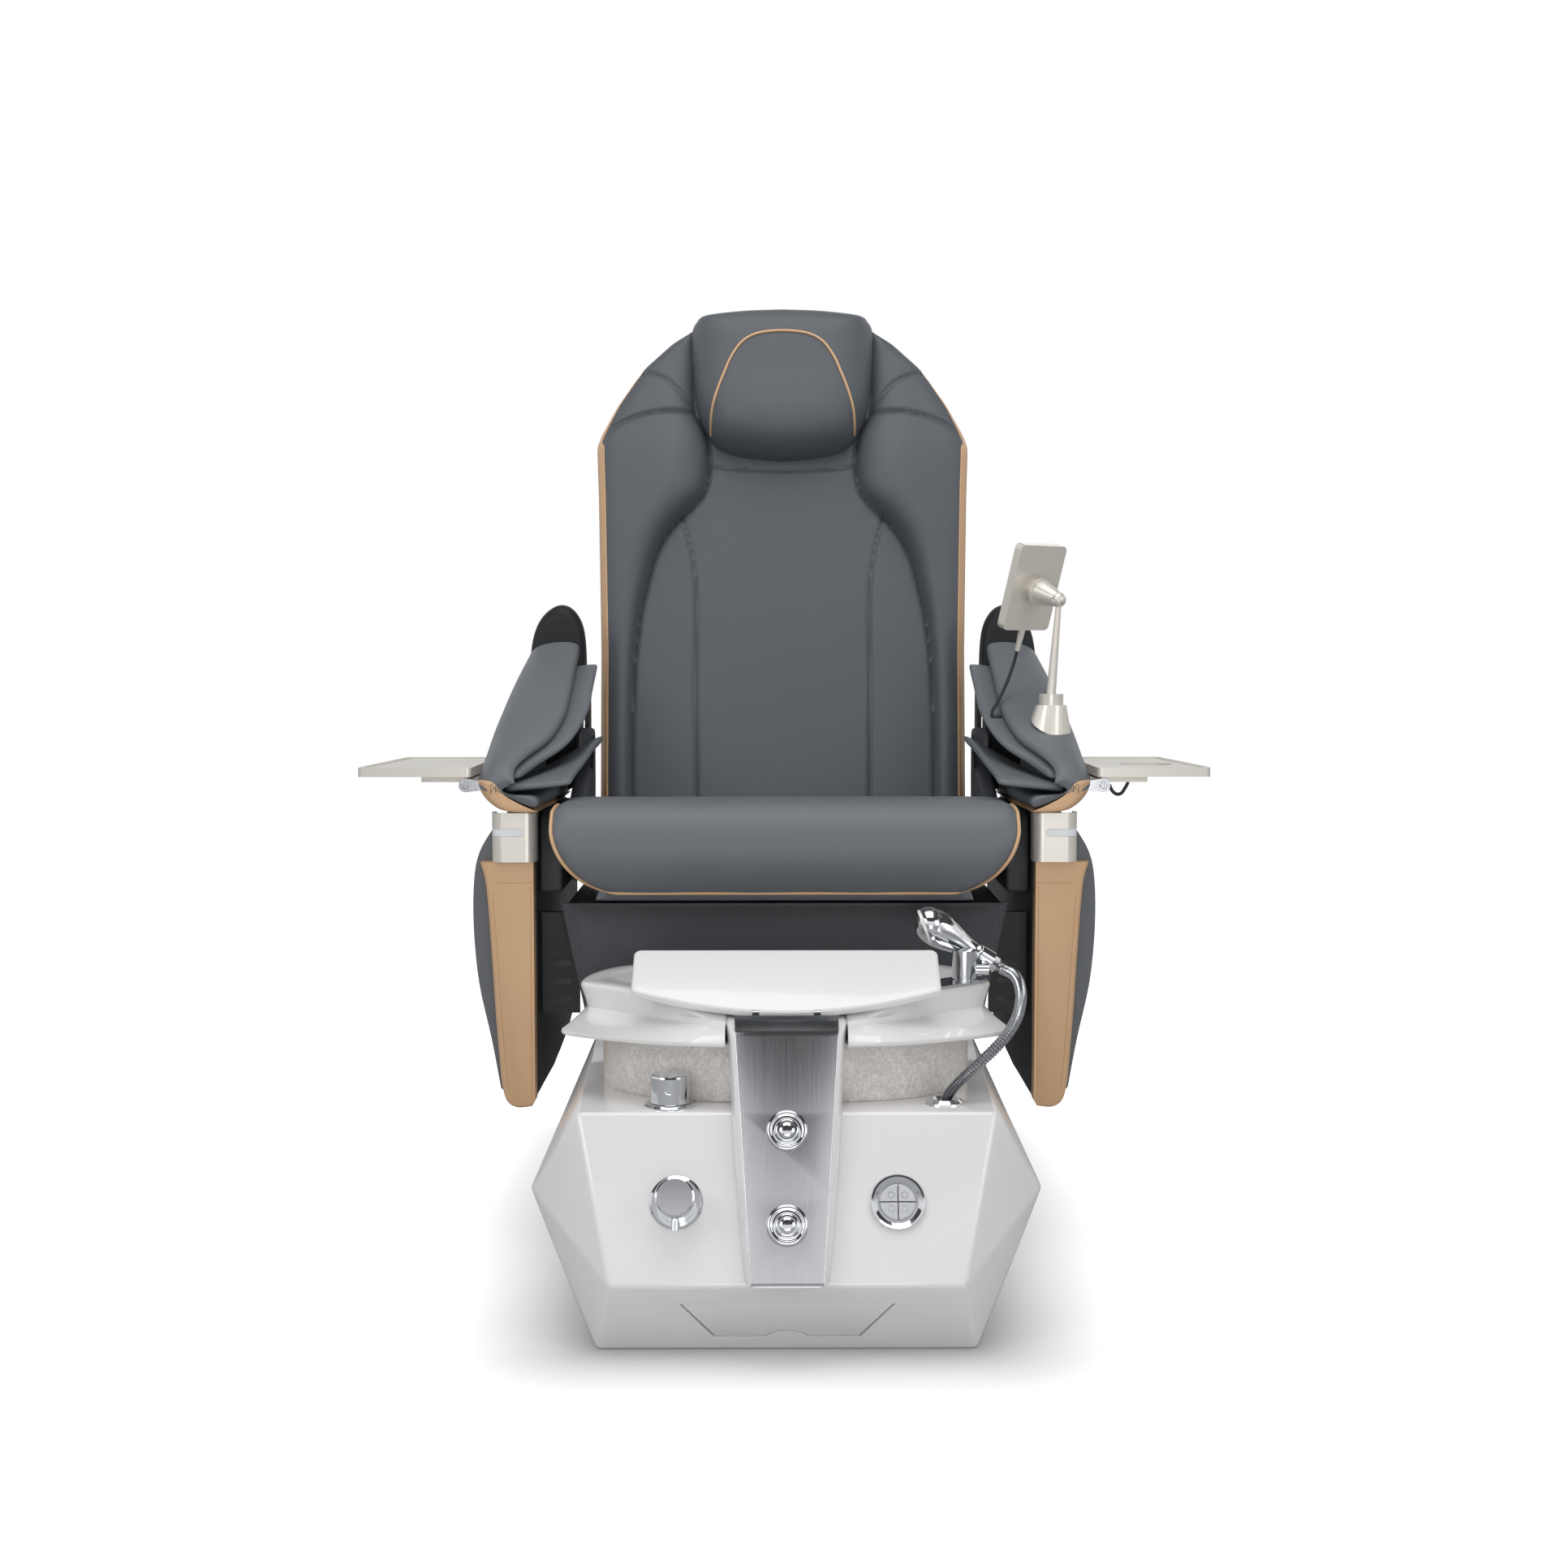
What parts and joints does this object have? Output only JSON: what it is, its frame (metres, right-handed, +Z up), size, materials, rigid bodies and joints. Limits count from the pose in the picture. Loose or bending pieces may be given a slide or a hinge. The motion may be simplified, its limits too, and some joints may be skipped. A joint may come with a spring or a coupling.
{
  "type": "pedicure spa chair",
  "caption": "Pedicure chair: faceted foot-bath base with jet bowl, sprayer and footrest, under a sliding, reclining massage chair with lift-up arms, fold-down trays and a remote.",
  "frame": {"origin": "on the floor, at the centre of the base's floor pan", "axes": "+X to the sitter's left, which is the right of someone facing the chair; +Y to the rear of the chair; +Z up"},
  "size_m": [1.198, 1.2708, 1.4235],
  "materials": {
    "white_gloss": "gloss moulded white",
    "black_plastic": "matte black",
    "brushed_steel": "vertical brushed, satin",
    "chrome": "polished",
    "key_grey": "soft grey keys",
    "hose_metal": "polished ribs",
    "stone_band": "pale veined stone effect",
    "dark_leather": "fine grain, satin",
    "grey_leather": "fine grain, satin",
    "bronze_leather": "fine metallic bronze, satin",
    "champagne": "satin champagne",
    "light_strip": "opal diffuser",
    "black_fabric": "woven webbing",
    "black_rubber": "matte",
    "dark_plastic": "fine texture",
    "frame_steel": "black powder coat"
  },
  "bodies": {
    "base": {"floor_pan": "black_plastic", "base_shell": "white_gloss", "access_panel": "white_gloss", "column": "white_gloss", "fascia": "brushed_steel", "button_bezels": "chrome", "valve_flanges": "chrome", "keypad_bezel": "chrome", "hose_grommet": "chrome", "hose": "hose_metal", "bowl_band": "stone_band", "tub": "white_gloss", "jet_motor": "black_plastic", "jet_cover": "white_gloss", "footrest_hinge": "chrome", "holder": "chrome", "drain_pump": "black_plastic", "apron": "dark_leather", "slide_rails": "frame_steel"},
    "seat": {"seat_frame": "frame_steel", "seat_cushion": "grey_leather", "seat_roll": "grey_leather", "seat_sides": "dark_leather", "side_panel_l": "grey_leather", "side_panel_r": "grey_leather", "side_trims": "bronze_leather", "arm_brackets": "champagne", "led_lights": "light_strip"},
    "arm_left": {"arm_frame_l": "bronze_leather", "arm_body_l": "grey_leather", "arm_flaps_l": "dark_leather"},
    "arm_right": {"arm_frame_r": "bronze_leather", "arm_body_r": "grey_leather", "arm_flaps_r": "dark_leather", "remote_mount": "champagne", "tray_strap": "black_fabric", "remote_cable": "black_rubber"},
    "tray_left": {"tray_l": "champagne"},
    "tray_right": {"tray_r": "champagne"},
    "mast": {"remote_mast": "champagne"},
    "remote": {"remote_head": "champagne"},
    "back": {"back_frame": "frame_steel", "back_shell": "dark_plastic", "back_cushion": "grey_leather", "back_wings": "grey_leather", "head_pillow": "grey_leather"},
    "carriage": {"massage_carriage": "black_plastic"},
    "footrest": {"footrest": "white_gloss"},
    "sprayer": {"sprayer": "chrome"},
    "spray_face": {"sprayer_face": "white_gloss"},
    "drain_button": {"drain_button": "chrome"},
    "jet_button": {"jet_button": "chrome"},
    "mixer_knob": {"mixer_knob": "chrome"},
    "diverter_knob": {"diverter_knob": "chrome"},
    "key_1": {"key_1": "key_grey"},
    "key_2": {"key_2": "key_grey"},
    "key_3": {"key_3": "key_grey"},
    "key_4": {"key_4": "key_grey"},
    "strainer": {"drain_strainer": "chrome"},
    "impeller": {"jet_impeller": "black_plastic"}
  },
  "joints": [
    {"name": "seat_slide", "type": "slide", "parent": "base", "child": "seat", "axis": [0, 1, 0], "range_m": [0, 0.15]},
    {"name": "back_recline", "type": "hinge", "parent": "seat", "child": "back", "pos_m": [0, 0.335, 0.52], "axis": [-1, 0, 0], "range_deg": [0, 35]},
    {"name": "massage_travel", "type": "slide", "parent": "back", "child": "carriage", "axis": [0, 0.2773, 0.9608], "range_m": [0, 0.3]},
    {"name": "arm_lift_left", "type": "hinge", "parent": "seat", "child": "arm_left", "pos_m": [-0.32, 0.235, 0.8], "axis": [-1, 0, 0], "range_deg": [0, 50]},
    {"name": "arm_lift_right", "type": "hinge", "parent": "seat", "child": "arm_right", "pos_m": [0.32, 0.235, 0.8], "axis": [-1, 0, 0], "range_deg": [0, 50]},
    {"name": "tray_fold_left", "type": "hinge", "parent": "arm_left", "child": "tray_left", "pos_m": [-0.446, 0, 0.664], "axis": [0, -1, 0], "range_deg": [0, 90]},
    {"name": "tray_fold_right", "type": "hinge", "parent": "arm_right", "child": "tray_right", "pos_m": [0.446, 0, 0.664], "axis": [0, 1, 0], "range_deg": [0, 90], "deforming": ["tray_strap"]},
    {"name": "remote_swivel", "type": "hinge", "parent": "arm_right", "child": "mast", "pos_m": [0.386, -0.041, 0.789], "axis": [0, 0, 1], "range_deg": [-60, 60], "deforming": ["remote_cable"]},
    {"name": "remote_tilt", "type": "hinge", "parent": "mast", "child": "remote", "pos_m": [0.39551, -0.041, 0.925], "axis": [0.788, 0.6157, 0], "range_deg": [-20, 20], "deforming": ["remote_cable"]},
    {"name": "footrest_flip", "type": "hinge", "parent": "base", "child": "footrest", "pos_m": [0, -0.47401, 0.4015], "axis": [1, 0, 0], "range_deg": [0, 60]},
    {"name": "sprayer_lift", "type": "slide", "parent": "base", "child": "sprayer", "axis": [-0.848, 0, 0.5299], "range_m": [0, 0.09]},
    {"name": "spray_mode", "type": "hinge", "parent": "sprayer", "child": "spray_face", "pos_m": [0.1945, -0.308, 0.48805], "axis": [-0.9397, 0, -0.342], "range_deg": [-30, 30]},
    {"name": "drain_press", "type": "slide", "parent": "base", "child": "drain_button", "axis": [0, 0.9135, -0.4067], "range_m": [0, 0.004], "stiffness_N_per_m": 900},
    {"name": "jet_press", "type": "slide", "parent": "base", "child": "jet_button", "axis": [0, 0.9135, -0.4067], "range_m": [0, 0.004], "stiffness_N_per_m": 900},
    {"name": "mixer_turn", "type": "hinge", "parent": "base", "child": "mixer_knob", "pos_m": [-0.145, -0.496, 0.3], "axis": [0, 0, 1], "range_deg": [-90, 90]},
    {"name": "diverter_turn", "type": "hinge", "parent": "base", "child": "diverter_knob", "pos_m": [-0.134, -0.57974, 0.18651], "axis": [0, -0.9135, 0.4067], "range_deg": [-90, 90]},
    {"name": "key_1_press", "type": "slide", "parent": "base", "child": "key_1", "axis": [0, 0.9135, -0.4067], "range_m": [0, 0.0015], "stiffness_N_per_m": 600},
    {"name": "key_2_press", "type": "slide", "parent": "base", "child": "key_2", "axis": [0, 0.9135, -0.4067], "range_m": [0, 0.0015], "stiffness_N_per_m": 600},
    {"name": "key_3_press", "type": "slide", "parent": "base", "child": "key_3", "axis": [0, 0.9135, -0.4067], "range_m": [0, 0.0015], "stiffness_N_per_m": 600},
    {"name": "key_4_press", "type": "slide", "parent": "base", "child": "key_4", "axis": [0, 0.9135, -0.4067], "range_m": [0, 0.0015], "stiffness_N_per_m": 600},
    {"name": "strainer_lift", "type": "slide", "parent": "base", "child": "strainer", "axis": [0, 0, 1], "range_m": [0, 0.05]},
    {"name": "jet_spin", "type": "hinge", "parent": "base", "child": "impeller", "pos_m": [0.062, -0.285, 0.165], "axis": [0, 0, 1], "continuous": true}
  ]
}
